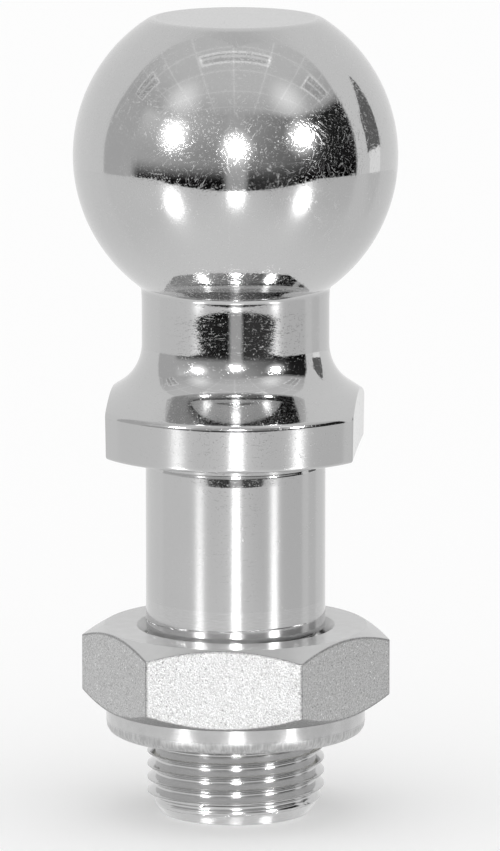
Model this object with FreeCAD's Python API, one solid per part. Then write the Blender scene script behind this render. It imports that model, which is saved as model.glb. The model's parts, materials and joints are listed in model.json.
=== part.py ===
import FreeCAD, Part
import math
import os

from FreeCAD import Vector

# Threaded tow ball with its lock nut. Millimetres, +Z up through the ball.
# The origin is on the stud's axis, on the underside of the collar, which is the face
# that seats on the hitch. The piece stands on the end of its thread.

# Ball and neck
ball_diameter = 50.8
ball_centre_height = 46.4
ball_flat_depth = 3.75
ball_flat_edge_radius = 3.0
neck_diameter = 29.4
neck_throat_radius = 1.3
neck_foot_radius = 7.6

# Collar: a round flange with a sloped top and two parallel wrench flats
collar_diameter = 45.8
collar_wall_height = 7.2
collar_slope_height = 3.15
collar_slope_top_diameter = 36.4
collar_edge_radius = 1.0
collar_foot_radius = 0.5
collar_across_flats = 38.8
collar_turn_degrees = 4.8

# Shank and its thread, 12 turns to the inch, right-hand
shank_diameter = 28.25
shank_length = 58.1
thread_length = 29.7
shank_root_radius = 0.5
thread_diameter = 27.92
thread_pitch = 25.4 / 12
thread_runout_turns = 0.35
thread_phase_degrees = -4.0
end_chamfer_height = 3.3
end_chamfer_depth = 2.4

# Hexagon lock nut, run up to the top of the thread, with a thinner rim below that is
# rolled in over its insert
nut_rise_over_thread = 0.2
nut_across_flats = 42.2
nut_hexagon_height = 12.9
nut_chamfer_diameter = 41.4
nut_chamfer_degrees = 30.0
nut_turn_degrees = 5.0
nut_countersink_diameter = 31.2
nut_rim_diameter = 40.8
nut_rim_height = 4.1
nut_rim_edge_radius = 1.9
nut_rim_wall = 1.5
nut_lip_width = 3.5
nut_lip_thickness = 0.8
nut_seat_depth = 0.5

# Running clearances
thread_flank_clearance = 0.10
thread_crest_clearance = 0.25
thread_root_clearance = 0.49
insert_bore_clearance = 0.10
insert_seat_clearance = 0.05
insert_edge_chamfer = 0.3

# Form of the thread: sixty degrees between the flanks, flats an eighth of a pitch wide
flank_angle = math.radians(30)
thread_depth = 0.6134 * thread_pitch
crest_flat = thread_pitch / 8

ball_radius = ball_diameter / 2
ball_flat_height = ball_radius - ball_flat_depth
neck_radius = neck_diameter / 2
collar_radius = collar_diameter / 2
slope_top_radius = collar_slope_top_diameter / 2
shank_radius = shank_diameter / 2
thread_radius = thread_diameter / 2
thread_root_radius = thread_radius - thread_depth
thread_top = shank_length - thread_length
nut_bore_radius = thread_root_radius + thread_root_clearance
nut_top = thread_top - nut_rise_over_thread
nut_rim_radius = nut_rim_diameter / 2
nut_bottom = nut_top + nut_hexagon_height + nut_rim_height
insert_seat_radius = nut_rim_radius - nut_rim_wall
insert_top = nut_top + nut_hexagon_height + nut_seat_depth
insert_bottom = nut_bottom - nut_lip_thickness


def polar(centre, radius, angle):
    """The point of the half section at this distance and angle from a centre."""
    return (centre[0] + radius * math.cos(angle), centre[1] + radius * math.sin(angle))


def corner(before, point, after, radius):
    """Start, middle and end of the arc that rounds the corner at point."""
    to_before = Vector(before[0] - point[0], 0, before[1] - point[1]).normalize()
    to_after = Vector(after[0] - point[0], 0, after[1] - point[1]).normalize()
    half = to_before.getAngle(to_after) / 2
    tip = Vector(point[0], 0, point[1])
    bisector = (to_before + to_after).normalize()
    start = tip + to_before * (radius / math.tan(half))
    middle = tip + bisector * (radius / math.sin(half) - radius)
    end = tip + to_after * (radius / math.tan(half))
    return [(p.x, p.z) for p in (start, middle, end)]


def turned(steps):
    """Solid turned about the Z axis. A step is a point, or the middle and end of an arc."""
    at = Vector(steps[0][0], 0, steps[0][1])
    first = at
    edges = []
    for step in steps[1:]:
        points = [Vector(p[0], 0, p[1]) for p in (step if isinstance(step, list) else [step])]
        if len(points) == 2:
            edges.append(Part.Arc(at, points[0], points[1]).toShape())
        else:
            edges.append(Part.LineSegment(at, points[0]).toShape())
        at = points[-1]
    edges.append(Part.LineSegment(at, first).toShape())
    face = Part.Face(Part.Wire(edges))
    return face.revolve(Vector(0, 0, 0), Vector(0, 0, 1), 360)


def helical_cutter(section, low, turns, degrees, taper_degrees=0.0):
    """Section of (radius, height) points carried up a right-hand helix that starts at low."""
    path = Part.makeLongHelix(thread_pitch, thread_pitch * turns, section[0][0], taper_degrees)
    corners = [Vector(radius, 0, height) for radius, height in section]
    sweep = Part.BRepOffsetAPI.MakePipeShell(Part.Wire(path.Edges))
    sweep.setBiNormalMode(Vector(0, 0, 1))
    sweep.add(Part.makePolygon(corners + corners[:1]), False, False)
    sweep.build()
    sweep.makeSolid()
    solid = sweep.shape()
    solid.rotate(Vector(0, 0, 0), Vector(0, 0, 1), degrees)
    solid.translate(Vector(0, 0, low))
    return solid


def groove_section(inner, outer, half_width_at_outer):
    """Groove that is open outwards, as between the ridges of the stud's thread."""
    half_at_inner = half_width_at_outer - (outer - inner) * math.tan(flank_angle)
    return [
        (inner, -half_at_inner),
        (outer, -half_width_at_outer),
        (outer, half_width_at_outer),
        (inner, half_at_inner),
    ]


def ball_outline():
    """Half section from the flat on top of the ball to the foot of the neck."""
    centre = (0, ball_centre_height)
    edge_height = ball_flat_height - ball_flat_edge_radius
    edge_radius = math.sqrt((ball_radius - ball_flat_edge_radius) ** 2 - edge_height**2)
    edge_centre = (edge_radius, ball_centre_height + edge_height)
    edge_angle = math.atan2(edge_height, edge_radius)
    throat_x = neck_radius + neck_throat_radius
    throat_drop = math.sqrt((ball_radius + neck_throat_radius) ** 2 - throat_x**2)
    throat_centre = (throat_x, ball_centre_height - throat_drop)
    throat_angle = math.atan2(-throat_drop, throat_x)
    slope_top = collar_wall_height + collar_slope_height
    foot_x = neck_radius + neck_foot_radius
    foot_rise = math.sqrt(neck_foot_radius**2 - (foot_x - slope_top_radius) ** 2)
    foot_centre = (foot_x, slope_top + foot_rise)
    foot_angle = math.atan2(-foot_rise, slope_top_radius - foot_x)
    return [
        (0, ball_centre_height + ball_flat_height),
        (edge_radius, ball_centre_height + ball_flat_height),
        [
            polar(edge_centre, ball_flat_edge_radius, (math.pi / 2 + edge_angle) / 2),
            polar(centre, ball_radius, edge_angle),
        ],
        [
            polar(centre, ball_radius, (edge_angle + throat_angle) / 2),
            polar(centre, ball_radius, throat_angle),
        ],
        [
            polar(throat_centre, neck_throat_radius, math.pi + throat_angle / 2),
            (neck_radius, throat_centre[1]),
        ],
        (neck_radius, foot_centre[1]),
        [
            polar(foot_centre, neck_foot_radius, (foot_angle - math.pi) / 2),
            (slope_top_radius, slope_top),
        ],
    ]


def collar_and_shank_outline():
    """Half section from the collar's slope down to the end of the thread."""
    slope_top = (slope_top_radius, collar_wall_height + collar_slope_height)
    rim = corner(slope_top, (collar_radius, collar_wall_height), (collar_radius, 0), collar_edge_radius)
    foot = corner((collar_radius, collar_wall_height), (collar_radius, 0), (0, 0), collar_foot_radius)
    seat = corner((collar_radius, 0), (shank_radius, 0), (shank_radius, -shank_length), shank_root_radius)
    step = shank_radius - thread_radius
    return [
        rim[0],
        rim[1:],
        foot[0],
        foot[1:],
        seat[0],
        seat[1:],
        (shank_radius, step - thread_top),
        (thread_radius, -thread_top),
        (thread_radius, end_chamfer_height - shank_length),
        (thread_radius - end_chamfer_depth, -shank_length),
        (0, -shank_length),
    ]


def cut_wrench_flats(solid):
    """Take both sides off the collar, from its seat up through its slope."""
    height = collar_wall_height + 2 * collar_slope_height
    for side in (0, 180):
        block = Part.makeBox(collar_radius, 2 * collar_diameter, height)
        block.translate(Vector(collar_across_flats / 2, -collar_diameter, 0))
        block.rotate(Vector(0, 0, 0), Vector(0, 0, 1), side - collar_turn_degrees)
        solid = solid.cut(block)
    return solid


def cut_stud_thread(solid):
    """Cut the groove from below the end to the run-out, where it rises out of the shank."""
    overshoot = crest_flat / 4
    outer = thread_radius + overshoot
    half_width = (thread_pitch - crest_flat) / 2 + overshoot * math.tan(flank_angle)
    section = groove_section(thread_root_radius, outer, half_width)
    low = -(shank_length + 1.4 * thread_pitch)
    full_top = -(thread_top + thread_runout_turns * thread_pitch)
    turns = (full_top - low) / thread_pitch
    solid = solid.cut(helical_cutter(section, low, turns, thread_phase_degrees))
    rise = thread_depth + 2 * overshoot
    taper = math.degrees(math.atan2(rise, thread_runout_turns * thread_pitch))
    degrees = thread_phase_degrees + 360 * turns
    runout = helical_cutter(section, full_top, thread_runout_turns, degrees, taper)
    return solid.cut(runout)


def make_ball_stud():
    """Ball, neck, collar and threaded shank: forged and turned in one piece."""
    solid = turned(ball_outline() + collar_and_shank_outline())
    solid = cut_wrench_flats(solid)
    return cut_stud_thread(solid)


def hexagon_blank():
    """Hexagonal prism with both ends chamfered to a circle."""
    corner_radius = nut_across_flats / 2 / math.cos(math.radians(30))
    corners = []
    for index in range(7):
        angle = math.radians(60 * index - nut_turn_degrees)
        corners.append(Vector(corner_radius * math.cos(angle), corner_radius * math.sin(angle), 0))
    prism = Part.Face(Part.makePolygon(corners)).extrude(Vector(0, 0, -nut_hexagon_height))
    prism.translate(Vector(0, 0, -nut_top))
    circle = nut_chamfer_diameter / 2
    drop = (corner_radius + 1 - circle) * math.tan(math.radians(nut_chamfer_degrees))
    top = -nut_top
    bottom = -nut_top - nut_hexagon_height
    chamfers = turned(
        [
            (0, top),
            (circle, top),
            (corner_radius + 1, top - drop),
            (corner_radius + 1, bottom + drop),
            (circle, bottom),
            (0, bottom),
        ]
    )
    return prism.common(chamfers)


def nut_rim():
    """Round rim below the hexagon, with its lower edge rolled inwards."""
    top = -nut_top - nut_hexagon_height
    lip = corner(
        (nut_rim_radius, top), (nut_rim_radius, -nut_bottom), (0, -nut_bottom), nut_rim_edge_radius
    )
    return turned([(0, top + 1), (nut_rim_radius, top + 1), lip[0], lip[1:], (0, -nut_bottom)])


def nut_hollow():
    """Countersink, bore and the seat of the insert, as one turned body to take out."""
    countersink_radius = nut_countersink_diameter / 2
    lip_radius = nut_rim_radius - nut_lip_width
    return turned(
        [
            (0, 1 - nut_top),
            (countersink_radius + 1, 1 - nut_top),
            (nut_bore_radius, nut_bore_radius - countersink_radius - nut_top),
            (nut_bore_radius, -insert_top),
            (insert_seat_radius, -insert_top),
            (insert_seat_radius, -insert_bottom),
            (lip_radius, -insert_bottom),
            (lip_radius, -nut_bottom - 1),
            (0, -nut_bottom - 1),
        ]
    )


def cut_nut_thread(solid):
    """Cut the groove that the stud's ridge runs in, with its clearances."""
    outer = thread_radius + thread_crest_clearance
    inner = nut_bore_radius - crest_flat / 4
    flank = thread_flank_clearance / math.cos(flank_angle)
    half_at_outer = crest_flat / 2 + flank - thread_crest_clearance * math.tan(flank_angle)
    half_at_inner = half_at_outer + (outer - inner) * math.tan(flank_angle)
    section = [
        (inner, -half_at_inner),
        (outer, -half_at_outer),
        (outer, half_at_outer),
        (inner, half_at_inner),
    ]
    stud_groove_low = -(shank_length + 1.4 * thread_pitch)
    turns_up = math.ceil((-insert_top - stud_groove_low) / thread_pitch) - 1
    low = stud_groove_low + (turns_up - 0.5) * thread_pitch
    turns = math.ceil((-nut_top - low) / thread_pitch) + 1
    return solid.cut(helical_cutter(section, low, turns, thread_phase_degrees))


def make_lock_nut():
    """Hexagon, rim, bore and thread of the nut: one piece of steel."""
    solid = hexagon_blank().fuse(nut_rim())
    solid = solid.cut(nut_hollow())
    return cut_nut_thread(solid)


def make_nylon_insert():
    """Plain ring held in the nut's rim, its bore clear of the stud's thread."""
    bore = shank_radius + insert_bore_clearance
    outer = insert_seat_radius - insert_seat_clearance
    top = -insert_top - insert_seat_clearance
    bottom = -insert_bottom + insert_seat_clearance
    edge = insert_edge_chamfer
    ring = [
        (bore, top - edge),
        (bore + edge, top),
        (outer - edge, top),
        (outer, top - edge),
        (outer, bottom + edge),
        (outer - edge, bottom),
        (bore + edge, bottom),
        (bore, bottom + edge),
    ]
    return turned(ring)


def single_solid(shape):
    """The one solid of a shape, without the compound that a cut leaves round it."""
    return shape.Solids[0] if len(shape.Solids) == 1 else shape


def main():
    os.makedirs("parts", exist_ok=True)
    pieces = {
        "ball_stud": make_ball_stud(),
        "lock_nut": make_lock_nut(),
        "nylon_insert": make_nylon_insert(),
    }
    for name, shape in pieces.items():
        solid = single_solid(shape)
        box = solid.BoundBox
        print(
            f"{name}: valid {solid.isValid()}, {len(solid.Solids)} solid, {solid.Volume / 1000:.3f} cm3,"
            f" z {box.ZMin:.2f} to {box.ZMax:.2f}, x {box.XMin:.2f} to {box.XMax:.2f}"
        )
        solid.exportStep(f"parts/{name}.step")


main()
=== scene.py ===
"""Threaded tow ball: chromed stud, zinc-plated lock nut and nylon insert.

Lengths are in millimetres up to the point where a mesh is written, and in metres from there on.
"""

import json
import math

import bpy
import numpy as np
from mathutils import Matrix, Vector

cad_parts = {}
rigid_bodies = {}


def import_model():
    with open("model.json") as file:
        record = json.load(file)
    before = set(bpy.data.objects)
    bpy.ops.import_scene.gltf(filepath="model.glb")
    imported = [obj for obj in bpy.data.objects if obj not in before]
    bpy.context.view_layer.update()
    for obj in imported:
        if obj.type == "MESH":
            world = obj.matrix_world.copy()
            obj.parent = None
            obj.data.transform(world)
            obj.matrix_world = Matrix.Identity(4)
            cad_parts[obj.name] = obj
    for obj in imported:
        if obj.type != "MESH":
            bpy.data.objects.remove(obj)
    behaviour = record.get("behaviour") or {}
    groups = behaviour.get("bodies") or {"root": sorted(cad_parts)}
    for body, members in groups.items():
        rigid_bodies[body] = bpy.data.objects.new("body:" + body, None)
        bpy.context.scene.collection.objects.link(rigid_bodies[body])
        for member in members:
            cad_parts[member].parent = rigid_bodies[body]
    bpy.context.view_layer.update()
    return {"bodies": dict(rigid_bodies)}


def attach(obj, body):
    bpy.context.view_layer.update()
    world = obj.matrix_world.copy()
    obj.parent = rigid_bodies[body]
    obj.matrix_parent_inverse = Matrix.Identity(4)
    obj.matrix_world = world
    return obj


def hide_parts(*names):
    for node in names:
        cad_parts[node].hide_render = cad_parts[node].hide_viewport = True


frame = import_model()

MM = 0.001

# Ball and neck. The throat is the fillet under the ball: the height and the angle in degrees where
# it meets the neck's flare, which is a slope, the height where it starts and that of its blend
BALL_RADIUS = 25.4
BALL_CENTRE = 46.4
BALL_FLAT = 21.65
FLAT_EDGE = 3.0
NECK_RADIUS = 14.7
THROAT_FILLET = 1.3
THROAT_FOOT = 25.02
THROAT_END_ANGLE = 177
NECK_FOOT = 7.6
NECK_FLARE = 0.052
NECK_FLARE_FROM = 23.0
NECK_FLARE_BLEND = 1.4

# Collar. Its slope starts at a radius and a height, and its side leans in downwards by the draft
COLLAR_RADIUS = 22.9
COLLAR_WALL = 7.2
SLOPE_TOP = (18.2, 10.35)
RIM_EDGE = 1.0
FLAT_EDGE_ROUNDING = 0.22
COLLAR_FOOT = 0.5
FLAT_DISTANCE = 19.4
FLAT_TURN = math.radians(-4.8)
FLAT_CORNER_SOFTNESS = 0.05
WALL_DRAFT = 0.0192
UNDERSIDE_INNER_GAP = 0.15

# Shank and thread. The relief starts, is full, starts to end and ends at four heights. The end's
# chamfer has a depth across and a height. Rows of the thread are placed by its groove at the end
SHANK_RADIUS = 14.125
SHANK_ROOT = 0.5
RELIEF_DEPTH = 0.1
RELIEF = (-0.75, -1.1, -2.05, -2.5)
RELIEF_TAIL_DEPTH = 0.033
RELIEF_TAIL_END = -3.8
STUD_END = -58.1
END_CHAMFER = (2.4, 3.3)
END_EDGE = 0.35
THREAD_RADIUS = 13.96
THREAD_TOP = -28.4
PITCH = 25.4 / 12
THREAD_DEPTH = 0.6134 * PITCH
THREAD_PHASE = math.radians(-4.0)
FLANK_ANGLE = math.radians(30)
FLANK_SLOPE = math.tan(FLANK_ANGLE)
THREAD_TURNS = 16
THREAD_SOFTNESS = 0.14
GROOVE_AT_END = STUD_END - 1.4 * PITCH
RUNOUT_TURNS = 0.35

# Lock nut
NUT_TOP = -28.2
HEX_HALF = 21.1
HEX_HEIGHT = 12.9
HEX_CHAMFER_RADIUS = 20.7
HEX_CHAMFER_SLOPE = math.tan(math.radians(30))
HEX_CORNER = math.radians(-5.0)
HEX_CORNER_SOFTNESS = 0.12
COUNTERSINK_RADIUS = 15.6
BORE_RADIUS = 13.15
NUT_GROOVE_RADIUS = 14.21
RIM_RADIUS = 20.4
RIM_HEIGHT = 4.1
RIM_ROLL = 1.9
LIP_RADIUS = 16.9
LIP_THICKNESS = 0.8
SEAT_RADIUS = 18.9
SEAT_DEPTH = 0.5
FLANK_CLEARANCE = 0.1
NUT_THREAD_SOFTNESS = 0.06

# Where the nut's turned rings meet its wound thread: two radii on the countersink, and two distances
# past the groove on the ceiling of the insert's seat
COUNTERSINK_TURNED_FROM = 14.95
COUNTERSINK_WOUND_TO = 14.8
SEAT_TURNED_TO = 1.5
SEAT_WOUND_FROM = 1.3

# Nylon insert
INSERT_BORE = 14.225
INSERT_OUTER = 18.85
INSERT_PLAY = 0.05

# Radius of the small disc that closes the flat top and the end face
CAP_RADIUS = 0.8

TURN = 2 * math.pi


def arc(centre, radius, start, end, steps):
    """Points on a circle between two angles in degrees, both ends included."""
    angle = np.radians(np.linspace(start, end, steps + 1))
    return np.column_stack([centre[0] + radius * np.cos(angle), centre[1] + radius * np.sin(angle)])


def line(start, end, steps):
    """Points on a straight run, both ends included."""
    share = np.linspace(0, 1, steps + 1)[:, None]
    return np.array(start) * (1 - share) + np.array(end) * share


def held(points, hold=0.12):
    """A run's points with one more close to each end, which keeps the shading of its flat part flat."""
    first, second = points[0], points[1]
    last, before = points[-1], points[-2]
    near_first = first + (second - first) * min(0.4, hold / np.linalg.norm(second - first))
    near_last = last + (before - last) * min(0.4, hold / np.linalg.norm(before - last))
    return np.vstack([first, near_first, points[1:-1], near_last, last])


def rows_of(runs):
    """Runs of (radius, height) joined into one outline without doubled points."""
    outline = np.vstack(runs)
    step = np.linalg.norm(np.diff(outline, axis=0), axis=1)
    return outline[np.concatenate([[True], step > 1e-4])]


def turned_grid(outline, angles):
    """Rings of an outline turned about Z: x = r cos a, y = r sin a."""
    radius = outline[:, 0][:, None]
    height = np.broadcast_to(outline[:, 1][:, None], (len(outline), len(angles)))
    return np.dstack([radius * np.cos(angles), radius * np.sin(angles), height])


def ring_quads(rows, columns, first=0):
    """Quads between neighbouring rings that are listed downwards, facing away from the axis."""
    row, column = np.meshgrid(np.arange(rows - 1), np.arange(columns), indexing="ij")
    after = (column + 1) % columns
    corners = [
        row * columns + column,
        (row + 1) * columns + column,
        (row + 1) * columns + after,
        row * columns + after,
    ]
    return np.stack(corners, axis=-1).reshape(-1, 4) + first


def write_mesh(name, points, face_groups, finish_of_group, materials):
    """One smooth mesh object from points in millimetres and groups of faces, each with its finish."""
    mesh = bpy.data.meshes.new(name)
    faces = [list(map(int, face)) for group in face_groups for face in group]
    mesh.from_pydata((points * MM).tolist(), [], faces)
    slots = np.concatenate([np.full(len(g), s) for g, s in zip(face_groups, finish_of_group)])
    mesh.polygons.foreach_set("material_index", slots.astype(np.int32))
    mesh.polygons.foreach_set("use_smooth", np.ones(len(faces), bool))
    for material in materials:
        mesh.materials.append(material)
    mesh.update()
    piece = bpy.data.objects.new(name, mesh)
    bpy.context.scene.collection.objects.link(piece)
    weigh = piece.modifiers.new("even_shading", "WEIGHTED_NORMAL")
    weigh.mode = "FACE_AREA"
    weigh.weight = 50
    return piece


def thread_rows(angles, top, turns, offsets, bend):
    """Heights of a strip that winds down round the axis, one row of turns below another.

    A column's rows start at top + pitch * angle / turn, and each lies its offset and whole pitches
    below that. bend maps these even heights to the real ones.
    """
    drops = (np.arange(turns)[:, None] * PITCH + offsets[None, :]).ravel()
    even = top + PITCH * angles[None, :] / TURN - drops[:, None]
    return bend(even)


def snapped(heights, edges):
    """Heights in which each column's nearest point is moved onto each edge."""
    column = np.arange(heights.shape[1])
    for edge in edges:
        nearest = np.abs(heights - edge).argmin(axis=0)
        heights[nearest, column] = edge
    return heights


def strip_faces(rows, columns, per_turn, first, above, below):
    """Faces of a wound strip and of its joints with the plain rings above and below it.

    The last column meets the first one pitch further down. Each joint has one many-sided face, where
    the strip's end makes a step.
    """

    def at(row, column):
        return first + row * columns + column

    def quads(*corners):
        return np.stack(corners, axis=-1).reshape(-1, 4)

    row, column = np.meshgrid(np.arange(rows - 1), np.arange(columns - 1), indexing="ij")
    body = quads(at(row, column), at(row + 1, column), at(row + 1, column + 1), at(row, column + 1))
    row = np.arange(per_turn, rows - 1)
    last = columns - 1
    seam = quads(at(row, last), at(row + 1, last), at(row + 1 - per_turn, 0), at(row - per_turn, 0))
    column = np.arange(columns - 1)
    upper = quads(above + column, at(0, column), at(0, column + 1), above + column + 1)
    lower = quads(at(rows - 1, column), below + column, below + column + 1, at(rows - 1, column + 1))
    upper_step = [above + last, *at(np.arange(per_turn + 1), last), at(0, 0), above]
    lower_step = [at(rows - 1, last), below + last, below]
    lower_step += list(at(np.arange(rows - 1, rows - 2 - per_turn, -1), 0))
    return [*np.vstack([body, seam, upper, lower]), upper_step, lower_step]


def collar_columns():
    """Angles round the stud, closer together beside the four upright edges of the wrench flats."""
    edge = math.acos(FLAT_DISTANCE / COLLAR_RADIUS)
    near = np.radians([0.25, 0.6, 1.1, 1.8])
    flat_middle = np.linspace(-edge + near[-1], edge - near[-1], 22)[1:-1]
    flat = np.concatenate([-edge + near, flat_middle, edge - near[::-1]])
    gap = math.pi - 2 * edge
    turned_middle = np.linspace(near[-1], gap - near[-1], 44)[1:-1]
    turned = np.concatenate([near, turned_middle, gap - near[::-1]])
    half = np.concatenate([[-edge], flat, [edge], edge + turned])
    return np.concatenate([half, half + math.pi]) + FLAT_TURN


def side_radius(angles):
    """Radius of the collar's side: the smaller of the round wall and the flats, with a soft corner.

    The smaller of two radii is half of their sum less their difference. The softness is added to the
    difference as the other side of a right angle is.
    """
    turn = np.abs((angles - FLAT_TURN + math.pi / 2) % math.pi - math.pi / 2)
    flat = FLAT_DISTANCE / np.maximum(np.cos(turn), 0.2)
    return (flat + COLLAR_RADIUS - np.hypot(flat - COLLAR_RADIUS, FLAT_CORNER_SOFTNESS)) / 2


def neck_flare(height):
    """How much wider the neck is near the ball: a parabola that runs into a straight flare."""
    above = np.maximum(height - NECK_FLARE_FROM, 0)
    curve = np.minimum(above, NECK_FLARE_BLEND)
    return NECK_FLARE * (curve**2 / (2 * NECK_FLARE_BLEND) + above - curve)


def relief(height):
    """Depth of the shallow relief under the collar.

    It starts and ends with half a cosine, and a straight tail a third as deep runs out below it.
    """
    top, upper, lower, end = RELIEF
    fall = (1 - np.cos(np.pi * np.clip((top - height) / (top - upper), 0, 1))) / 2
    rise = (1 - np.cos(np.pi * np.clip((height - end) / (lower - end), 0, 1))) / 2
    tail = np.clip((height - RELIEF_TAIL_END) / (end - RELIEF_TAIL_END), 0, 1)
    return fall * (RELIEF_DEPTH * rise + RELIEF_TAIL_DEPTH * tail)


def upper_outline():
    """Outline from the ball's flat top to the foot of the neck.

    Its arcs touch without a kink: the flat's rounded edge lies inside the ball, the throat's fillet
    outside it and against the neck, and the foot's fillet runs from the neck to the collar's slope.
    """
    edge_height = BALL_FLAT - FLAT_EDGE
    edge_x = math.sqrt((BALL_RADIUS - FLAT_EDGE) ** 2 - edge_height**2)
    edge_angle = math.degrees(math.atan2(edge_height, edge_x))
    throat_x = NECK_RADIUS + neck_flare(THROAT_FOOT) + THROAT_FILLET
    throat_drop = math.sqrt((BALL_RADIUS + THROAT_FILLET) ** 2 - throat_x**2)
    throat_angle = math.degrees(math.atan2(-throat_drop, throat_x))
    foot_x = NECK_RADIUS + NECK_FOOT
    foot_rise = math.sqrt(NECK_FOOT**2 - (foot_x - SLOPE_TOP[0]) ** 2)
    foot_angle = math.degrees(math.atan2(-foot_rise, SLOPE_TOP[0] - foot_x))
    top = BALL_CENTRE + BALL_FLAT
    throat_height = BALL_CENTRE - throat_drop
    foot_height = SLOPE_TOP[1] + foot_rise
    neck = np.linspace(throat_height, foot_height, 16)
    return rows_of(
        [
            held(line((CAP_RADIUS, top), (edge_x, top), 3)),
            arc((edge_x, BALL_CENTRE + edge_height), FLAT_EDGE, 90, edge_angle, 10),
            arc((0, BALL_CENTRE), BALL_RADIUS, edge_angle, throat_angle, 54),
            arc((throat_x, throat_height), THROAT_FILLET, 180 + throat_angle, THROAT_END_ANGLE, 8),
            np.column_stack([NECK_RADIUS + neck_flare(neck), neck]),
            arc((foot_x, foot_height), NECK_FOOT, -180, foot_angle, 14),
        ]
    )


def collar_grid(angles):
    """Slope, rounded rim and side of the collar, down to its underside.

    In each column the slope runs to the side's radius there, and an arc that is tangent to both
    joins them: wide on the turned rim and narrow on the edge of a flat.
    """
    side = side_radius(angles)
    slope = math.atan2(SLOPE_TOP[1] - COLLAR_WALL, COLLAR_RADIUS - SLOPE_TOP[0])
    share = np.clip((side - (COLLAR_RADIUS - 0.5)) / 0.5, 0, 1)
    rounding = FLAT_EDGE_ROUNDING + (RIM_EDGE - FLAT_EDGE_ROUNDING) * share**2
    meet = SLOPE_TOP[1] - (side - SLOPE_TOP[0]) * math.tan(slope)
    tangent = rounding * math.tan((math.pi / 2 - slope) / 2)
    centre_x = side - rounding
    centre_z = meet - tangent
    start_x = side - tangent * math.cos(slope)
    start_z = meet + tangent * math.sin(slope)
    radii, heights = [], []
    for part in (0.0, 0.03, 0.35, 0.7, 0.96, 1.0):
        radii.append(SLOPE_TOP[0] + (start_x - SLOPE_TOP[0]) * part)
        heights.append(SLOPE_TOP[1] + (start_z - SLOPE_TOP[1]) * part)
    for part in np.linspace(0, 1, 9)[1:]:
        angle = (math.pi / 2 - slope) * (1 - part)
        radii.append(centre_x + rounding * np.cos(angle))
        heights.append(centre_z + rounding * np.sin(angle))
    for part in (0.04, 0.5, 0.96, 1.0):
        heights.append(centre_z + (COLLAR_FOOT - centre_z) * part)
        radii.append(side - WALL_DRAFT * (centre_z - heights[-1]))
    side = radii[-1]
    for angle in np.radians(np.linspace(0, -90, 6)[1:]):
        radii.append(side - COLLAR_FOOT * (1 - np.cos(angle)))
        heights.append(COLLAR_FOOT + COLLAR_FOOT * np.sin(angle) + 0 * side)
    inner = SHANK_RADIUS + SHANK_ROOT + UNDERSIDE_INNER_GAP
    for part in (0.03, 0.5, 1.0):
        radii.append((side - COLLAR_FOOT) * (1 - part) + inner * part)
        heights.append(0 * side)
    radii, heights = np.array(radii), np.array(heights)
    return np.dstack([radii * np.cos(angles), radii * np.sin(angles), heights])


def thread_profile(crest, root, half_at_crest, soft):
    """Half a pitch of a sixty degree thread, as (distance from the groove's middle, radius).

    The flank is a straight slope, and soft cuts off its two corners by so much along each side, with
    a point between that stands for the corner's arc.
    """
    half_at_root = half_at_crest - abs(crest - root) * FLANK_SLOPE
    flank = math.hypot(abs(crest - root), half_at_crest - half_at_root)
    along = soft / flank
    rise = crest - root
    run = half_at_crest - half_at_root
    points = [
        (half_at_root - soft * 0.9, root),
        (half_at_root + run * along * 0.25, root + rise * along * 0.25),
        (half_at_root + run * along, root + rise * along),
        (half_at_crest - run * along, crest - rise * along),
        (half_at_crest + soft * 0.1, crest - rise * along * 0.2),
        (half_at_crest + soft, crest),
    ]
    return np.array(points)


def whole_pitch(profile):
    """The half profile mirrored about the groove's middle, as offsets downwards and radii."""
    down = np.vstack([profile[::-1] * [-1, 1], profile])
    return down[:, 0] + PITCH / 2, down[:, 1]


def stud_thread(angles):
    """Wound rows from the shank's foot down into the end chamfer, and how many rows a turn has.

    A row's radius is the least of the groove's, the shank's and the chamfer's. The groove runs out
    of the shank over the last part of a turn, and the lowest rows are pressed together above the
    end's rounded edge.
    """
    groove_half = (PITCH - PITCH / 8) / 2
    profile = thread_profile(THREAD_RADIUS, THREAD_RADIUS - THREAD_DEPTH, groove_half, THREAD_SOFTNESS)
    offsets, radii = whole_pitch(profile)
    groove_at_zero = GROOVE_AT_END - PITCH * THREAD_PHASE / TURN
    ridge_top = groove_at_zero + PITCH * (THREAD_TURNS + 0.5)
    chamfer_depth, chamfer_height = END_CHAMFER
    chamfer_top = STUD_END + chamfer_height
    # Height below which the chamfer has cut the thread away, so that rows can move without a trace
    plain = chamfer_top - (THREAD_DEPTH + 0.06) / chamfer_depth * chamfer_height
    lowest = ridge_top - THREAD_TURNS * PITCH - 0.01
    squeeze = (STUD_END + END_EDGE + 0.1 - plain) / (lowest - plain)

    def bend(even):
        return np.where(even > plain, even, plain + (even - plain) * squeeze)

    heights = thread_rows(angles, ridge_top, THREAD_TURNS, offsets, bend)
    heights = snapped(heights, [THREAD_TOP + SHANK_RADIUS - THREAD_RADIUS, THREAD_TOP, chamfer_top])
    turn_of_row = np.repeat(np.arange(THREAD_TURNS), len(offsets))[:, None]
    centre = ridge_top + PITCH * angles / TURN - (turn_of_row + 0.5) * PITCH
    runout = RUNOUT_TURNS * PITCH
    faded = np.clip((centre - THREAD_TOP + runout) / runout, 0, None)
    groove = np.tile(radii, THREAD_TURNS)[:, None] + faded * (THREAD_DEPTH + 0.1)
    fall = np.clip((chamfer_top - heights) / chamfer_height, 0, 1) * chamfer_depth
    above = heights > THREAD_TOP
    body = np.where(above, THREAD_RADIUS + (heights - THREAD_TOP), THREAD_RADIUS - fall)
    body = np.minimum(body, SHANK_RADIUS)
    radius = np.where(above, body, np.minimum(groove, body))
    return np.dstack([radius * np.cos(angles), radius * np.sin(angles), heights]), len(offsets)


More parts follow.
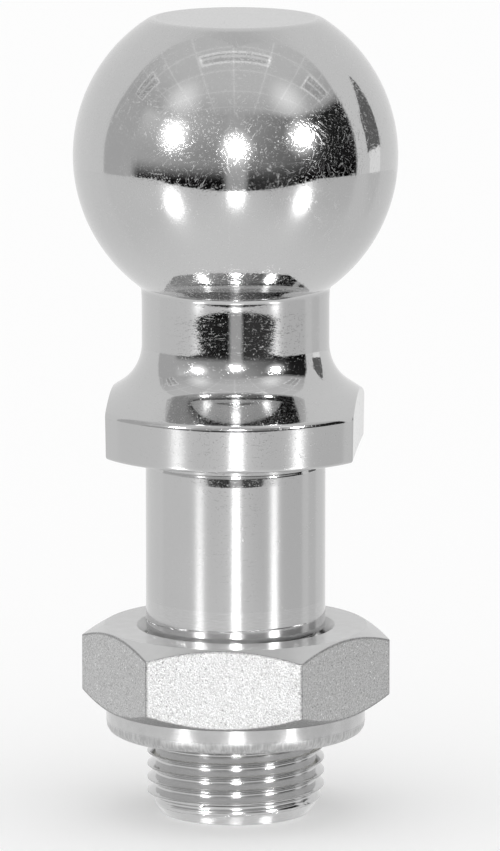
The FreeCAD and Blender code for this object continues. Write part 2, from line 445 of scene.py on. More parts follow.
def make_stud(chrome, machined, threaded):
    """Ball, neck, collar, shank and thread as one closed surface.

    The rings down to the thread, the wound thread and the end's rings are joined by shared points,
    and a disc closes each end. The end's rounded edge touches the chamfer and the end face.
    """
    angles = collar_columns()
    columns = len(angles)
    upper = turned_grid(upper_outline(), angles)
    collar = collar_grid(angles)[1:]
    strip, per_turn = stud_thread(angles)
    ring_height = strip[0, :, 2].max() + 0.6
    shank = np.linspace(-SHANK_ROOT - 0.1, RELIEF_TAIL_END - 0.1, 40)
    seat = rows_of(
        [
            arc((SHANK_RADIUS + SHANK_ROOT, -SHANK_ROOT), SHANK_ROOT, 90, 180, 5),
            np.column_stack([SHANK_RADIUS - relief(shank), shank]),
            line((SHANK_RADIUS, shank[-1]), (SHANK_RADIUS, ring_height), 3),
        ]
    )
    seat = turned_grid(seat, angles)
    plain = np.vstack([upper, collar, seat])
    end_radius = THREAD_RADIUS - END_CHAMFER[0]
    slope = math.atan2(END_CHAMFER[1], END_CHAMFER[0])
    back = END_EDGE * math.tan(slope / 2)
    edge_centre = (end_radius - back, STUD_END + END_EDGE)
    start = (end_radius + back * math.cos(slope), STUD_END + back * math.sin(slope))
    end = rows_of(
        [
            np.array([start]),
            arc(edge_centre, END_EDGE, -90 + math.degrees(slope), -90, 5),
            line((end_radius - back - 0.15, STUD_END), (CAP_RADIUS, STUD_END), 2),
        ]
    )
    end = turned_grid(end, angles)
    points = np.vstack([plain.reshape(-1, 3), strip.reshape(-1, 3), end.reshape(-1, 3)])
    strip_first = len(plain) * columns
    end_first = strip_first + strip.shape[0] * columns
    above = strip_first - columns
    thread = strip_faces(strip.shape[0], columns, per_turn, strip_first, above, end_first)
    top_rows = int((upper[:, 0, 2] > BALL_CENTRE + BALL_FLAT - 1e-6).sum())
    top = ring_quads(top_rows, columns)
    body = ring_quads(len(plain) - top_rows + 1, columns, (top_rows - 1) * columns)
    below = ring_quads(len(end), columns, end_first)
    cap = [list(range(columns))]
    foot = [list(range(len(points) - columns, len(points)))[::-1]]
    groups = [top, cap, body, thread, below, foot]
    finishes = [1, 1, 0, 2, 2, 1]
    return write_mesh("stud_surface", points, groups, finishes, [chrome, machined, threaded])


def hex_columns():
    """Angles round the nut, closer together beside the hexagon's six corners."""
    sixth = math.pi / 3
    near = np.radians([0.35, 0.8, 1.5, 2.6])
    middle = np.linspace(near[-1], sixth - near[-1], 20)[1:-1]
    face = np.concatenate([[0], near, middle, sixth - near[::-1]])
    return np.concatenate([face + index * sixth for index in range(6)]) + HEX_CORNER


def hex_radius(angles):
    """Radius of the hexagon's side: the smaller of two neighbouring sides, with a soft corner."""
    sixth = math.pi / 3
    turn = (angles - HEX_CORNER) % sixth - sixth / 2
    side = HEX_HALF / np.cos(turn)
    other = HEX_HALF / np.cos(sixth - np.abs(turn))
    return (side + other - np.hypot(side - other, HEX_CORNER_SOFTNESS)) / 2


def rounded(points, cuts, steps=4):
    """An outline whose corners are rounded, worked out for all columns at once.

    points is a list of (radius, height) arrays, and cuts says how far each inner corner is cut back
    along both sides. A quadratic curve runs between the cuts, and one more row lies a little outside
    each, which keeps the shading of the flat parts flat.
    """
    rows = [points[0]]
    for before, corner, after, cut in zip(points, points[1:], points[2:], cuts):
        to_before = before - corner
        to_after = after - corner
        start = corner + to_before / np.linalg.norm(to_before, axis=0) * cut
        end = corner + to_after / np.linalg.norm(to_after, axis=0) * cut
        rows.append(start + (start - corner) * 0.6)
        for share in np.linspace(0, 1, steps + 1):
            rows.append(start * (1 - share) ** 2 + corner * 2 * share * (1 - share) + end * share**2)
        rows.append(end + (end - corner) * 0.6)
    rows.append(points[-1])
    return np.array(rows)


def nut_outside(angles):
    """Rows from the countersink, over the hexagon and the rim, to the seat of the insert."""
    ones = np.ones(len(angles))
    side = hex_radius(angles)
    chamfer = (side - HEX_CHAMFER_RADIUS) * HEX_CHAMFER_SLOPE
    bottom = NUT_TOP - HEX_HEIGHT
    end = bottom - RIM_HEIGHT
    ceiling = bottom - SEAT_DEPTH
    cone_foot = NUT_TOP - COUNTERSINK_RADIUS + COUNTERSINK_TURNED_FROM
    corners = [
        (COUNTERSINK_TURNED_FROM * ones, cone_foot * ones),
        (COUNTERSINK_RADIUS * ones, NUT_TOP * ones),
        (HEX_CHAMFER_RADIUS * ones, NUT_TOP * ones),
        (side, NUT_TOP - chamfer),
        (side, bottom + chamfer),
        (HEX_CHAMFER_RADIUS * ones, bottom * ones),
        (RIM_RADIUS * ones, bottom * ones),
        (RIM_RADIUS * ones, end * ones),
        (LIP_RADIUS * ones, end * ones),
        (LIP_RADIUS * ones, (end + LIP_THICKNESS) * ones),
        (SEAT_RADIUS * ones, (end + LIP_THICKNESS) * ones),
        (SEAT_RADIUS * ones, ceiling * ones),
        ((NUT_GROOVE_RADIUS + SEAT_TURNED_TO) * ones, ceiling * ones),
    ]
    cuts = [0.1, 0.1, 0.12, 0.12, 0.1, 0.09, RIM_ROLL, 0.12, 0.08, 0.1, 0.1]
    outline = rounded([np.array(c) for c in corners], cuts)
    radius, height = outline[:, 0], outline[:, 1]
    return np.dstack([radius * np.cos(angles), radius * np.sin(angles), height])


def nut_thread(angles):
    """Wound rows of the nut's thread, from its countersink to the seat's ceiling, and rows per turn.

    A row's radius is the larger of the groove's and the countersink's. The rows that would lie below
    the ceiling are laid out flat on it, outwards from the groove.
    """
    flank = FLANK_CLEARANCE / math.cos(FLANK_ANGLE)
    crest_half = PITCH / 16 + flank - (NUT_GROOVE_RADIUS - THREAD_RADIUS) * FLANK_SLOPE
    bore_half = crest_half + (NUT_GROOVE_RADIUS - BORE_RADIUS) * FLANK_SLOPE
    profile = thread_profile(BORE_RADIUS, NUT_GROOVE_RADIUS, bore_half, NUT_THREAD_SOFTNESS)
    offsets, radii = whole_pitch(profile)
    ceiling = NUT_TOP - HEX_HEIGHT - SEAT_DEPTH
    # The strip starts at the first ridge that is less than 1.2 mm below the top, or above it
    ridge = GROOVE_AT_END - PITCH * THREAD_PHASE / TURN
    steps_up = math.ceil((NUT_TOP - 1.2 - ridge) / PITCH)
    start = ridge + steps_up * PITCH
    turns = math.ceil((start - ceiling) / PITCH) + 2
    cone_foot = NUT_TOP - (COUNTERSINK_RADIUS - BORE_RADIUS)
    # Height above which the countersink has cut the thread away
    plain = NUT_TOP - (COUNTERSINK_RADIUS - NUT_GROOVE_RADIUS) + 0.05
    highest = start + PITCH
    squeeze = (NUT_TOP - (COUNTERSINK_RADIUS - COUNTERSINK_WOUND_TO) - plain) / (highest - plain)

    def bend(even):
        return np.where(even < plain, even, plain + (even - plain) * squeeze)

    def groove_at(height):
        below_ridge = (start + PITCH * angles / TURN - height) % PITCH
        return np.interp(below_ridge, offsets, radii, period=PITCH)

    heights = snapped(thread_rows(angles, start, turns, offsets, bend), [ceiling])
    groove = np.where(heights < plain, groove_at(heights), BORE_RADIUS)
    radius = np.maximum(groove, BORE_RADIUS + (heights - cone_foot))
    at_ceiling = groove_at(np.full_like(heights, ceiling))
    beyond = ceiling - heights
    spread = beyond / beyond.max() * (NUT_GROOVE_RADIUS + SEAT_WOUND_FROM - at_ceiling)
    radius = np.where(beyond > 0, at_ceiling + spread, radius)
    heights = np.maximum(heights, ceiling)
    return np.dstack([radius * np.cos(angles), radius * np.sin(angles), heights]), len(offsets)


def make_nut(plated, machined, rolled):
    """Hexagon, rim, seat and thread of the nut as one closed surface.

    A rounded corner of the outline has seven rows. The top's finish runs over two corners, and the
    hexagon's over the next three. The strip is the same as the stud's turned inside out.
    """
    angles = hex_columns()
    columns = len(angles)
    outside = nut_outside(angles)
    strip, per_turn = nut_thread(angles)
    points = np.vstack([outside.reshape(-1, 3), strip.reshape(-1, 3)])
    strip_first = len(outside) * columns
    thread = strip_faces(strip.shape[0], columns, per_turn, strip_first, 0, strip_first - columns)
    thread = [list(face)[::-1] for face in thread]
    shell = ring_quads(len(outside), columns)
    corner_rows = 7
    top_rows = 1 + 2 * corner_rows
    hex_rows = 1 + 5 * corner_rows
    top = shell[: top_rows * columns]
    hexagon = shell[top_rows * columns : hex_rows * columns]
    rim = shell[hex_rows * columns :]
    groups = [top, hexagon, rim, thread]
    return write_mesh("nut_surface", points, groups, [1, 0, 2, 1], [plated, machined, rolled])


def make_insert(nylon):
    """Plain ring with rounded edges. Its outline starts and ends in the middle of its top."""
    angles = np.linspace(0, TURN, 145)[:-1]
    ceiling = NUT_TOP - HEX_HEIGHT - SEAT_DEPTH - INSERT_PLAY
    floor = NUT_TOP - HEX_HEIGHT - RIM_HEIGHT + LIP_THICKNESS + INSERT_PLAY
    ones = np.ones(len(angles))
    middle = (INSERT_BORE + INSERT_OUTER) / 2
    corners = [
        (middle, ceiling),
        (INSERT_OUTER, ceiling),
        (INSERT_OUTER, floor),
        (INSERT_BORE, floor),
        (INSERT_BORE, ceiling),
        (middle, ceiling),
    ]
    outline = rounded([np.array([r * ones, z * ones]) for r, z in corners], [0.3] * 4, 5)[:-1]
    grid = np.dstack([outline[:, 0] * np.cos(angles), outline[:, 0] * np.sin(angles), outline[:, 1]])
    rows, columns = len(outline), len(angles)
    quads = ring_quads(rows + 1, columns) % (rows * columns)
    return write_mesh("insert_surface", grid.reshape(-1, 3), [quads], [0], [nylon])


class Nodes:
    """Short ways to add nodes to one tree. Inputs are numbers, triples or other nodes' sockets."""

    def __init__(self, tree):
        self.tree = tree

    def add(self, kind, inputs, **settings):
        """One node. Its settings come first, because they can change which inputs it has."""
        node = self.tree.nodes.new(kind)
        for name, value in settings.items():
            setattr(node, name, value)
        for name, value in inputs.items():
            self.feed(node.inputs[name], value)
        return node

    def feed(self, socket, value):
        """Links an input to another node's output, or sets it to a number or a colour."""
        if isinstance(value, bpy.types.NodeSocket):
            self.tree.links.new(value, socket)
        elif socket.type == "RGBA" and not isinstance(value, tuple):
            socket.default_value = (value, value, value, 1)
        else:
            socket.default_value = value

    def math(self, operation, *values):
        """One step of arithmetic, by the node's own name for it."""
        return self.add("ShaderNodeMath", dict(enumerate(values)), operation=operation).outputs[0]

    def plus(self, first, second):
        """The sum of two values."""
        return self.math("ADD", first, second)

    def minus(self, first, second):
        """The first value less the second."""
        return self.math("SUBTRACT", first, second)

    def times(self, first, second):
        """The product of two values."""
        return self.math("MULTIPLY", first, second)

    def length(self, first, second):
        """Square root of the sum of two squares."""
        return self.math("SQRT", self.plus(self.times(first, first), self.times(second, second)))

    def ramp(self, value, low, high, to_low=0.0, to_high=1.0):
        """Smooth step from to_low, below low, to to_high, above high."""
        inputs = {"Value": value, "From Min": low, "From Max": high}
        inputs.update({"To Min": to_low, "To Max": to_high})
        return self.add("ShaderNodeMapRange", inputs, interpolation_type="SMOOTHSTEP").outputs[0]

    def between(self, value, low, high, soft):
        """One between low and high, falling to nothing over soft outside them."""
        return self.times(self.ramp(value, low - soft, low), self.ramp(value, high, high + soft, 1, 0))

    def blend(self, share, first, second):
        """The first value where share is 0, the second where it is 1."""
        node = self.add("ShaderNodeMix", {}, data_type="FLOAT")
        for index, value in ((0, share), (2, first), (3, second)):
            self.feed(node.inputs[index], value)
        return node.outputs[0]

    def noise(self, place, scale, detail=2.0, roughness=0.5):
        """Cloudy pattern from 0 to 1, with about scale clouds to a metre."""
        inputs = {"Vector": place, "Scale": scale, "Detail": detail, "Roughness": roughness}
        return self.add("ShaderNodeTexNoise", inputs).outputs["Fac"]

    def rings(self, radius, spacing):
        """Turning marks: a wave from 0 to 1 over the distance from the axis, spaced in millimetres."""
        wave = self.math("SINE", self.times(radius, TURN / (spacing * MM)))
        return self.math("MULTIPLY_ADD", wave, 0.5, 0.5)

    def place(self):
        """Place on the piece, in metres."""
        return self.add("ShaderNodeTexCoord", {}).outputs["Object"]

    def stretched(self, place, factors):
        """The place with each axis multiplied, for a pattern that is longer one way."""
        return self.add("ShaderNodeMapping", {"Vector": place, "Scale": factors}).outputs[0]

    def split(self, place):
        """The place's x, y and z."""
        return self.add("ShaderNodeSeparateXYZ", {"Vector": place}).outputs

    def from_axis(self, place):
        """Distance from the Z axis."""
        x, y, _ = self.split(place)
        return self.length(x, y)

    def bump(self, height, depth, below=None):
        """Raises the surface by height, a number from 0 to 1, times depth in metres."""
        inputs = {"Height": height, "Distance": depth, "Strength": 1.0}
        if below is not None:
            inputs["Normal"] = below
        return self.add("ShaderNodeBump", inputs).outputs[0]

    def mixed(self, share, first, second):
        """Two shaders' outputs mixed: the first where share is 0, the second where it is 1."""
        return self.add("ShaderNodeMixShader", {0: share, 1: first, 2: second}).outputs[0]


def finish(name, metallic):
    """A new material, its nodes and its shader."""
    material = bpy.data.materials.new(name)
    material.use_nodes = True
    shader = material.node_tree.nodes["Principled BSDF"]
    shader.inputs["Metallic"].default_value = metallic
    return material, Nodes(material.node_tree), shader


def lay_on(nodes, shader, colour, roughness, normal):
    """Gives a shader the three patterns that every finish has."""
    nodes.feed(shader.inputs["Base Color"], colour)
    nodes.feed(shader.inputs["Roughness"], roughness)
    nodes.feed(shader.inputs["Normal"], normal)


# Chrome, with heights in metres: where the ball's marks give way to the turned ones, and the neck
CHROME_TONE = 0.58
BALL_MARKS_FADE = (0.0245, 0.0265)
NECK_SPAN = (0.0125, 0.0235)


def polished_chrome():
    """Bright plating with fine scuffs.

    The ball has dense specks, and short scratches that lie two ways and bend a little. Below it,
    where the stud was turned, the marks are fewer, and longer round the axis than along it. Marks
    scatter a little light, so they show where the plating mirrors something dark. The neck's skin is
    uneven as well, which frays the edges of what it mirrors.
    """
    material, nodes, shader = finish("polished_chrome", 1)
    place = nodes.place()
    height = nodes.split(place)[2]
    turned = nodes.ramp(height, *BALL_MARKS_FADE, 1, 0)

    clouds = nodes.add("ShaderNodeTexNoise", {"Vector": place, "Scale": 140.0, "Detail": 1.0})
    drift = {0: clouds.outputs["Color"], 1: (0.012, 0.012, 0.012)}
    drift = nodes.add("ShaderNodeVectorMath", drift, operation="MULTIPLY").outputs[0]
    bent = nodes.add("ShaderNodeVectorMath", {0: place, 1: drift}, operation="ADD").outputs[0]
    upright = nodes.noise(nodes.stretched(bent, (1, 1, 0.2)), 2600, 2, 0.6)
    across = nodes.noise(nodes.stretched(bent, (0.2, 1, 1)), 2800, 2, 0.6)
    scratch = nodes.ramp(nodes.math("MAXIMUM", upright, across), 0.57, 0.73)
    speck = nodes.ramp(nodes.noise(place, 3000, 2, 0.6), 0.58, 0.72)
    turned_line = nodes.ramp(nodes.noise(nodes.stretched(place, (1, 1, 7)), 520, 3, 0.7), 0.6, 0.74)
    ball_marks = nodes.math("MAXIMUM", speck, scratch)
    turned_marks = nodes.math("MAXIMUM", speck, turned_line)
    patch = nodes.ramp(nodes.noise(place, 130, 3, 0.6), 0.32, 0.6, nodes.blend(turned, 0.4, 0.7), 1)
    marks = nodes.times(nodes.blend(turned, ball_marks, turned_marks), patch)

    colour = nodes.blend(nodes.noise(place, 60, 3), CHROME_TONE - 0.02, CHROME_TONE + 0.02)
    nodes.feed(shader.inputs["Metallic"], nodes.blend(marks, 1.0, nodes.blend(turned, 0.68, 0.84)))
    peel = nodes.bump(nodes.noise(place, 300, 2), 0.8e-6)
    uneven = nodes.times(nodes.noise(place, 1500, 3, 0.7), nodes.between(height, *NECK_SPAN, 0.002))
    skin = nodes.bump(uneven, 5e-6, peel)
    lay_on(nodes, shader, colour, nodes.blend(marks, 0.04, 0.3), nodes.bump(marks, 2.2e-6, skin))
    return material


def pressed_flat():
    """The ball's flat top: the same plating over faint turning marks and a fine grain."""
    material, nodes, shader = finish("pressed_flat", 1)
    place = nodes.place()
    grain = nodes.noise(place, 2600, 3, 0.65)
    colour = nodes.blend(nodes.ramp(grain, 0.35, 0.65), 0.46, 0.58)
    roughness = nodes.blend(nodes.noise(place, 260, 3), 0.1, 0.2)
    turned = nodes.bump(nodes.rings(nodes.from_axis(place), 0.45), 1.2e-6)
    lay_on(nodes, shader, colour, roughness, nodes.bump(grain, 6e-6, turned))
    return material


def threaded_chrome():
    """Plating on the rolled thread, a little duller than on the ball and streaked round the axis."""
    material, nodes, shader = finish("threaded_chrome", 1)
    streak = nodes.noise(nodes.stretched(nodes.place(), (1, 1, 6)), 900, 3, 0.6)
    colour, roughness = nodes.blend(streak, 0.54, 0.66), nodes.blend(streak, 0.06, 0.16)
    lay_on(nodes, shader, colour, roughness, nodes.bump(streak, 4e-6))
    return material


# Painted shade along the hexagon's edges, with distances in metres: how dark it is, where it is full
# and arc of a sixth of a turn at the corners
EDGE_SHADE = 0.6
EDGE_BAND = (0.00008, 0.00034)
SIXTH_ARC = 0.0254


def from_hexagon_edge(nodes, place):
    """Distance from the nearest edge of the hexagon's side.

    It is the least of three: below the upper chamfer, above the lower one, and from the nearest
    corner along the side. A chamfer rises with the distance from the axis.
    """
    x, y, z = nodes.split(place)
    slope, foot = HEX_CHAMFER_SLOPE, HEX_CHAMFER_RADIUS * MM
    rise = nodes.math("MULTIPLY_ADD", nodes.length(x, y), slope, -foot * slope)
    from_top = nodes.minus(nodes.minus(NUT_TOP * MM, rise), z)
    from_bottom = nodes.minus(nodes.minus(z, rise), (NUT_TOP - HEX_HEIGHT) * MM)
    turn = nodes.minus(nodes.math("ARCTAN2", y, x), HEX_CORNER)
    share = nodes.math("FRACT", nodes.plus(nodes.math("DIVIDE", turn, math.pi / 3), 6.5))
    from_corner = nodes.times(nodes.math("ABSOLUTE", nodes.minus(share, 0.5)), SIXTH_ARC)
    return nodes.math("MINIMUM", nodes.math("MINIMUM", from_top, from_bottom), from_corner)


def sanded_zinc():
    """Plating over the hexagon's blasted sides: fine grain, painted glints, painted shade at the edges.
    """
    material, nodes, shader = finish("sanded_zinc", 1)
    place = nodes.place()
    grain = nodes.noise(place, 4200, 3, 0.7)
    pit = nodes.ramp(nodes.noise(place, 3300, 2, 0.6), 0.3, 0.4)
    # Painted glints: specks whose colour goes to white and whose metallic share falls, so they show
    # white whatever they face
    painted_glint = nodes.ramp(nodes.noise(place, 3100, 1, 0.5), 0.68, 0.76)
    tone = nodes.times(nodes.blend(nodes.ramp(grain, 0.3, 0.7), 0.4, 0.72), nodes.blend(pit, 0.45, 1.0))
    tone = nodes.blend(painted_glint, tone, 1.0)
    # Painted shade: the colour darkens in a thin band along the hexagon's edges and corners
    tone = nodes.times(tone, nodes.ramp(from_hexagon_edge(nodes, place), *EDGE_BAND, EDGE_SHADE, 1.0))
    nodes.feed(shader.inputs["Metallic"], nodes.blend(painted_glint, 1.0, 0.25))
    roughness = nodes.blend(nodes.noise(place, 3600, 2), 0.3, 0.52)
    lay_on(nodes, shader, tone, roughness, nodes.bump(grain, 7e-5))
    return material


def turned_zinc():
    """Plating over the nut's turned faces: rings about the axis, soft clouds and a pale grey body."""
    material, nodes, shader = finish("turned_zinc", 0.3)
    place = nodes.place()
    wobble = nodes.math("MULTIPLY_ADD", nodes.noise(place, 300, 2), 0.0012, nodes.from_axis(place))
    cloud = nodes.noise(place, 420, 4, 0.6)
    grain = nodes.noise(place, 3400, 2, 0.6)
    turned = nodes.bump(nodes.rings(wobble, 0.4), 1.5e-6)
    normal = nodes.bump(grain, 2e-6, turned)
    lay_on(nodes, shader, nodes.blend(cloud, 0.54, 0.62), nodes.blend(cloud, 0.2, 0.27), normal)
    return material


# Heights in metres between which the rim's pressed streaks fade upwards
ROLL_FADE = (-0.0436, -0.0428)


def rolled_zinc():
    """Plating on the rim rolled over the insert: streaks along the axis where it was pressed."""
    material, nodes, shader = finish("rolled_zinc", 1)
    place = nodes.place()
    lower = nodes.ramp(nodes.split(place)[2], *ROLL_FADE, 1, 0)
    along = nodes.noise(nodes.stretched(place, (1, 1, 0.12)), 2600, 2, 0.6)
    cloud = nodes.noise(place, 500, 3, 0.6)
    hatch = nodes.blend(nodes.ramp(along, 0.35, 0.65), 0.72, 1.0)
    colour = nodes.times(nodes.blend(cloud, 0.52, 0.64), nodes.blend(lower, 1.0, hatch))
    roughness = nodes.blend(lower, nodes.blend(cloud, 0.08, 0.22), 0.34)
    dents = nodes.bump(nodes.noise(place, 260, 2), 4e-5)
    soft = nodes.bump(nodes.noise(place, 900, 2), 4e-6, dents)
    pressed = nodes.times(along, nodes.blend(lower, 0.15, 1.0))
    lay_on(nodes, shader, colour, roughness, nodes.bump(pressed, 2e-5, soft))
    return material


def plain_nylon():
    """Off-white nylon with a faint mottle."""
    material, nodes, shader = finish("plain_nylon", 0)
    place = nodes.place()
    cloud = nodes.noise(place, 350, 3)
    warm = nodes.add("ShaderNodeMix", {}, data_type="RGBA")
    nodes.feed(warm.inputs[0], cloud)
    nodes.feed(warm.inputs[6], (0.83, 0.82, 0.76, 1))
    nodes.feed(warm.inputs[7], (0.89, 0.88, 0.83, 1))
    normal = nodes.bump(nodes.noise(place, 2500, 2), 4e-6)
    lay_on(nodes, shader, warm.outputs[2], nodes.blend(cloud, 0.38, 0.5), normal)
    return material


# Camera, in millimetres: its distance from a point in the collar, that point, and how far from the
# point it aims, which sets the part in the frame as in the photograph. Then its lens
CAMERA_DISTANCE = 1400
CAMERA_ELEVATION = math.radians(10)
CAMERA_POINT = (0, 0, 5)
CAMERA_AIM = (2.26, 0, -1.44)
CAMERA_LENS = 377.6


def add_camera():
    """Camera at the photograph's angle: ten degrees above the collar, 1.4 m away."""
    data = bpy.data.cameras.new("camera")
    data.sensor_width = 36
    data.lens = CAMERA_LENS
    data.clip_start = 0.05
    data.clip_end = 50
    camera = bpy.data.objects.new("camera", data)
    bpy.context.scene.collection.objects.link(camera)
    point = Vector(CAMERA_POINT) * MM
    back = Vector((0, -math.cos(CAMERA_ELEVATION), math.sin(CAMERA_ELEVATION)))
    place = point + back * (CAMERA_DISTANCE * MM)
    aim = point + Vector(CAMERA_AIM) * MM
    camera.location = place
    camera.rotation_euler = (aim - place).to_track_quat("-Z", "Y").to_euler()
    bpy.context.scene.camera = camera


# Table, in metres: where its front edge crosses the middle, how that edge curves, how far its sides
# reach, and half the side of the piece that carries it. Then its share of gloss and its light
TABLE_FRONT = -0.36
TABLE_SAG = 0.24
TABLE_REACH = 0.6
TABLE_HALF = 2
TABLE_GLOSS = 0.15
TABLE_LIGHT = 0.91


def table_white():
    """White table top. Metal also sees its gloss, and sees that it ends in front of the part.

    The front edge is a shallow curve: y = front + sag * x * x. The sides end at one distance from
    the part. Its light falls off a little to the left, and more to the right. From below the table
    top is clear, so that the part's underside can be seen.
    """
    material = bpy.data.materials.new("table_white")
    material.use_nodes = True
    tree = material.node_tree
    nodes = Nodes(tree)
    tree.nodes.remove(tree.nodes["Principled BSDF"])
    matte = nodes.add("ShaderNodeBsdfDiffuse", {"Color": 0.98}).outputs[0]
    gloss = nodes.add("ShaderNodeBsdfGlossy", {"Color": 0.95, "Roughness": 0.24}).outputs[0]
    nothing = nodes.add("ShaderNodeBsdfTransparent", {}).outputs[0]
    place = nodes.place()
    x, y, _ = nodes.split(place)
    light = nodes.ramp(x, -0.15, -0.03, 0.93 * TABLE_LIGHT, TABLE_LIGHT)
    light = nodes.blend(nodes.ramp(x, 0.02, 0.15), light, 0.88 * TABLE_LIGHT)
    lit = nodes.add("ShaderNodeEmission", {"Color": 1.0, "Strength": light}).outputs[0]
    edge = nodes.math("MULTIPLY_ADD", nodes.times(x, x), TABLE_SAG, TABLE_FRONT)
    beyond = nodes.math("LESS_THAN", y, edge)
    beside = nodes.math("GREATER_THAN", nodes.from_axis(place), TABLE_REACH)
    off_table = nodes.math("MAXIMUM", beyond, beside)
    mirrored = nodes.mixed(off_table, nodes.mixed(TABLE_GLOSS, lit, gloss), nothing)
    glossy_ray = nodes.add("ShaderNodeLightPath", {}).outputs["Is Glossy Ray"]
    underneath = nodes.add("ShaderNodeNewGeometry", {}).outputs["Backfacing"]
    seen = nodes.mixed(underneath, nodes.mixed(glossy_ray, matte, mirrored), nothing)
    tree.links.new(seen, tree.nodes["Material Output"].inputs["Surface"])
    return material


def add_floor():
    """Table top under the stud's end, or under the nut's rim where the nut has come lower than that.

    The floor starts as far above its place as the rim's end is above the stud's, and moves down with
    the insert, but a limit keeps it at its place or lower.
    """
    z = STUD_END * MM
    half = TABLE_HALF
    top = bpy.data.meshes.new("floor")
    corners = [(-half, -half, z), (half, -half, z), (half, half, z), (-half, half, z)]
    top.from_pydata(corners, [], [(0, 1, 2, 3)])
    top.materials.append(table_white())
    floor = bpy.data.objects.new("floor", top)
    bpy.context.scene.collection.objects.link(floor)
    rim_end = NUT_TOP - HEX_HEIGHT - RIM_HEIGHT
    floor.location.z = (rim_end - STUD_END) * MM
    follow = floor.constraints.new("COPY_LOCATION")
    follow.target = frame["bodies"]["insert"]
    follow.use_x = False
    follow.use_y = False
    follow.use_offset = True
    stay = floor.constraints.new("LIMIT_LOCATION")
    stay.use_max_z = True
    stay.max_z = 0


# Lamps: each one's azimuth from the camera's side and elevation in degrees, and its watts. Then
# their distance from the ball and their radius in metres
LAMPS = ((-47.0, 19.0, 11.0), (0.5, 13.0, 8.5), (50.5, 17.0, 10.5))
LAMP_DISTANCE = 1.5
LAMP_RADIUS = 0.15


def add_lamps():
    """Three round lamps in front that face the ball. They show in gloss and light nothing matt."""
    centre = Vector((0, 0, BALL_CENTRE * MM))
    for index, (azimuth, elevation, watts) in enumerate(LAMPS):
        a, e = math.radians(azimuth), math.radians(elevation)
        towards = Vector((math.sin(a) * math.cos(e), -math.cos(a) * math.cos(e), math.sin(e)))
        data = bpy.data.lights.new("lamp_%d" % index, "AREA")
        data.shape = "DISK"
        data.size = 2 * LAMP_RADIUS
        data.energy = watts
        lamp = bpy.data.objects.new("lamp_%d" % index, data)
        lamp.location = centre + towards * LAMP_DISTANCE
        lamp.rotation_euler = (-towards).to_track_quat("-Z", "Y").to_euler()
        lamp.visible_camera = False
        lamp.visible_diffuse = False
        bpy.context.scene.collection.objects.link(lamp)


# Ceiling, in slopes of the line of sight, sideways or forwards over upwards: the side of a tile, and
# each fitting's left, right, near and far edges
TILE = 0.37
FITTINGS = ((-0.37, 0.36, 0.05, 0.23), (-1.66, -1.0, -0.2, 0.12), (0.9, 1.5, 0.0, 0.34))
FITTING_SOFTNESS = 0.01


def tiled_ceiling(nodes, direction, azimuth, elevation):
    """Light of the grey ceiling: two soft pools, pale seams between its tiles, and the fittings.

    A fitting is a pale frame round a darker middle, with a lit strip along it.
    """
    x, y, z = nodes.split(direction)
    light = nodes.ramp(elevation, 29, 60, 0.55, 0.74)
    for pool in (-50, 50):
        sideways = nodes.times(nodes.minus(azimuth, pool), 0.8)
        off = nodes.length(sideways, nodes.minus(elevation, 42.0))
        light = nodes.plus(light, nodes.ramp(off, 0, 19, 0.5, 0))
    up = nodes.math("MAXIMUM", z, 0.2)
    across = nodes.math("DIVIDE", x, up)
    ahead = nodes.math("DIVIDE", nodes.times(y, -1.0), up)
    for run in (across, ahead):
        share = nodes.math("FRACT", nodes.math("DIVIDE", nodes.plus(run, 20.0), TILE))
        seam = nodes.math("GREATER_THAN", nodes.math("ABSOLUTE", nodes.minus(share, 0.5)), 0.475)
        light = nodes.math("MULTIPLY_ADD", seam, 0.16, light)

    def inside(left, right, near, far):
        sideways = nodes.between(across, left, right, FITTING_SOFTNESS)
        return nodes.times(sideways, nodes.between(ahead, near, far, FITTING_SOFTNESS))

    for left, right, near, far in FITTINGS:
        whole = inside(left, right, near, far)
        middle = inside(left + 0.03, right - 0.03, near + 0.035, far - 0.035)
        halfway = (near + far) / 2
        strip = nodes.times(whole, nodes.between(ahead, halfway - 0.03, halfway, FITTING_SOFTNESS))
        light = nodes.math("MULTIPLY_ADD", nodes.minus(whole, nodes.times(middle, 1.35)), 0.34, light)
        light = nodes.math("MULTIPLY_ADD", strip, 0.3, light)
    return light


def dark_front(nodes, azimuth, elevation):
    """Light of the dark wall behind the lamps, with their halos.

    It is darkest low down and to the right. An upright strip in its middle is paler, most at its
    foot, and so is the foot of its right half. At its far left it ends in a pale panel.
    """
    low, high = nodes.ramp(elevation, -11, 3, 0.005, 0.3), nodes.ramp(elevation, 4, 34, 0, 0.14)
    left, right = nodes.ramp(azimuth, -82, 15, 1.9, 1.0), nodes.ramp(azimuth, 10, 72, 1.0, 0.05)
    light = nodes.times(nodes.plus(low, high), nodes.times(left, right))
    middle = nodes.between(azimuth, -4, 5, 6)
    light = nodes.math("MULTIPLY_ADD", middle, 0.08, light)
    light = nodes.plus(light, nodes.times(middle, nodes.ramp(elevation, -10, 8, 0.42, 0)))
    right_half = nodes.between(azimuth, 14, 40, 8)
    light = nodes.plus(light, nodes.times(right_half, nodes.ramp(elevation, -9, -2, 0.04, 0)))
    for lamp_azimuth, lamp_elevation, _ in LAMPS:
        off = nodes.length(nodes.minus(azimuth, lamp_azimuth), nodes.minus(elevation, lamp_elevation))
        light = nodes.plus(light, nodes.ramp(off, 3, 16, 1.0, 0))
        light = nodes.plus(light, nodes.ramp(off, 6, 26, 0.07, 0))
    return nodes.blend(nodes.ramp(azimuth, -82, -72), 0.58, light)


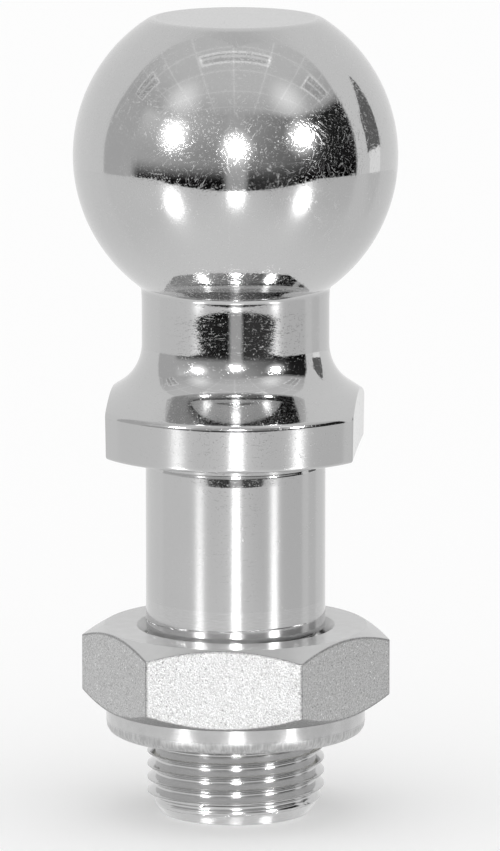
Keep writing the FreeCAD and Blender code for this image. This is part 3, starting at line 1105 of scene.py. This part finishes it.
def beside_sheet(nodes, azimuth, elevation, light):
    """The light with a dark gap beside the right sheet, and a pale panel below the gap.

    The gap's top is cut off by a straight slant.
    """
    gap = nodes.times(nodes.between(azimuth, 108, 125, 0.8), nodes.ramp(elevation, -2, -1))
    slant = nodes.math("MULTIPLY_ADD", azimuth, 0.72, -64.0)
    gap = nodes.times(gap, nodes.math("LESS_THAN", elevation, slant))
    light = nodes.blend(gap, light, 0.16)
    panel = nodes.times(nodes.between(azimuth, 112, 124, 0.6), nodes.between(elevation, -14, -1.6, 0.4))
    return nodes.blend(panel, light, 1.1)


def add_room():
    """White all round for the eye. Metal sees the studio: pale sheets behind, a dark room in front.

    Directions are an azimuth from the camera's side, to the right, and an elevation, in degrees. The
    sheets part in front, more so higher up, and show the wall, the ceiling above it, whose edge is
    highest in the middle, and a pale ground.
    """
    world = bpy.data.worlds.new("room")
    bpy.context.scene.world = world
    world.use_nodes = True
    nodes = Nodes(world.node_tree)
    direction = nodes.add("ShaderNodeTexCoord", {}).outputs["Generated"]
    x, y, z = nodes.split(direction)
    azimuth = nodes.math("DEGREES", nodes.math("ARCTAN2", x, nodes.times(y, -1.0)))
    elevation = nodes.math("DEGREES", nodes.math("ARCSINE", z))

    ceiling_shows = nodes.math("MULTIPLY_ADD", nodes.between(azimuth, -20, 20, 35), -7.0, elevation)
    ceiling_shows = nodes.ramp(ceiling_shows, 26, 33)
    wall = dark_front(nodes, azimuth, elevation)
    front = nodes.blend(ceiling_shows, wall, tiled_ceiling(nodes, direction, azimuth, elevation))
    front = nodes.blend(nodes.ramp(elevation, -30, -28, 1, 0), front, 0.95)

    spread = nodes.times(nodes.ramp(elevation, 25, 85), 30.0)
    past_left = nodes.ramp(nodes.plus(azimuth, spread), -108, -106)
    before_right = nodes.ramp(nodes.minus(azimuth, spread), 94, 97, 1, 0)
    sheet = nodes.ramp(elevation, 50, 84, 0.86, 0.68)
    around = nodes.blend(nodes.times(past_left, before_right), sheet, front)
    around = beside_sheet(nodes, azimuth, elevation, around)

    glossy_ray = nodes.add("ShaderNodeLightPath", {}).outputs["Is Glossy Ray"]
    background = world.node_tree.nodes["Background"]
    background.inputs["Color"].default_value = (1, 1, 1, 1)
    nodes.feed(background.inputs["Strength"], nodes.blend(glossy_ray, 1.0, around))


def main():
    """Makes the three pieces, hides the node each stands in for, puts each on its body, and sets the
    stage.
    """
    stud = make_stud(polished_chrome(), pressed_flat(), threaded_chrome())
    nut = make_nut(sanded_zinc(), turned_zinc(), rolled_zinc())
    insert = make_insert(plain_nylon())
    for piece, node, body, slot in (
        (stud, "ball_stud", "stud", "chromed_steel"),
        (nut, "lock_nut", "nut", "zinc_plated_steel"),
        (insert, "nylon_insert", "insert", "nylon"),
    ):
        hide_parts(node)
        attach(piece, body)
    add_floor()
    add_lamps()
    add_room()
    add_camera()
    bpy.context.scene.view_settings.view_transform = "Standard"


main()
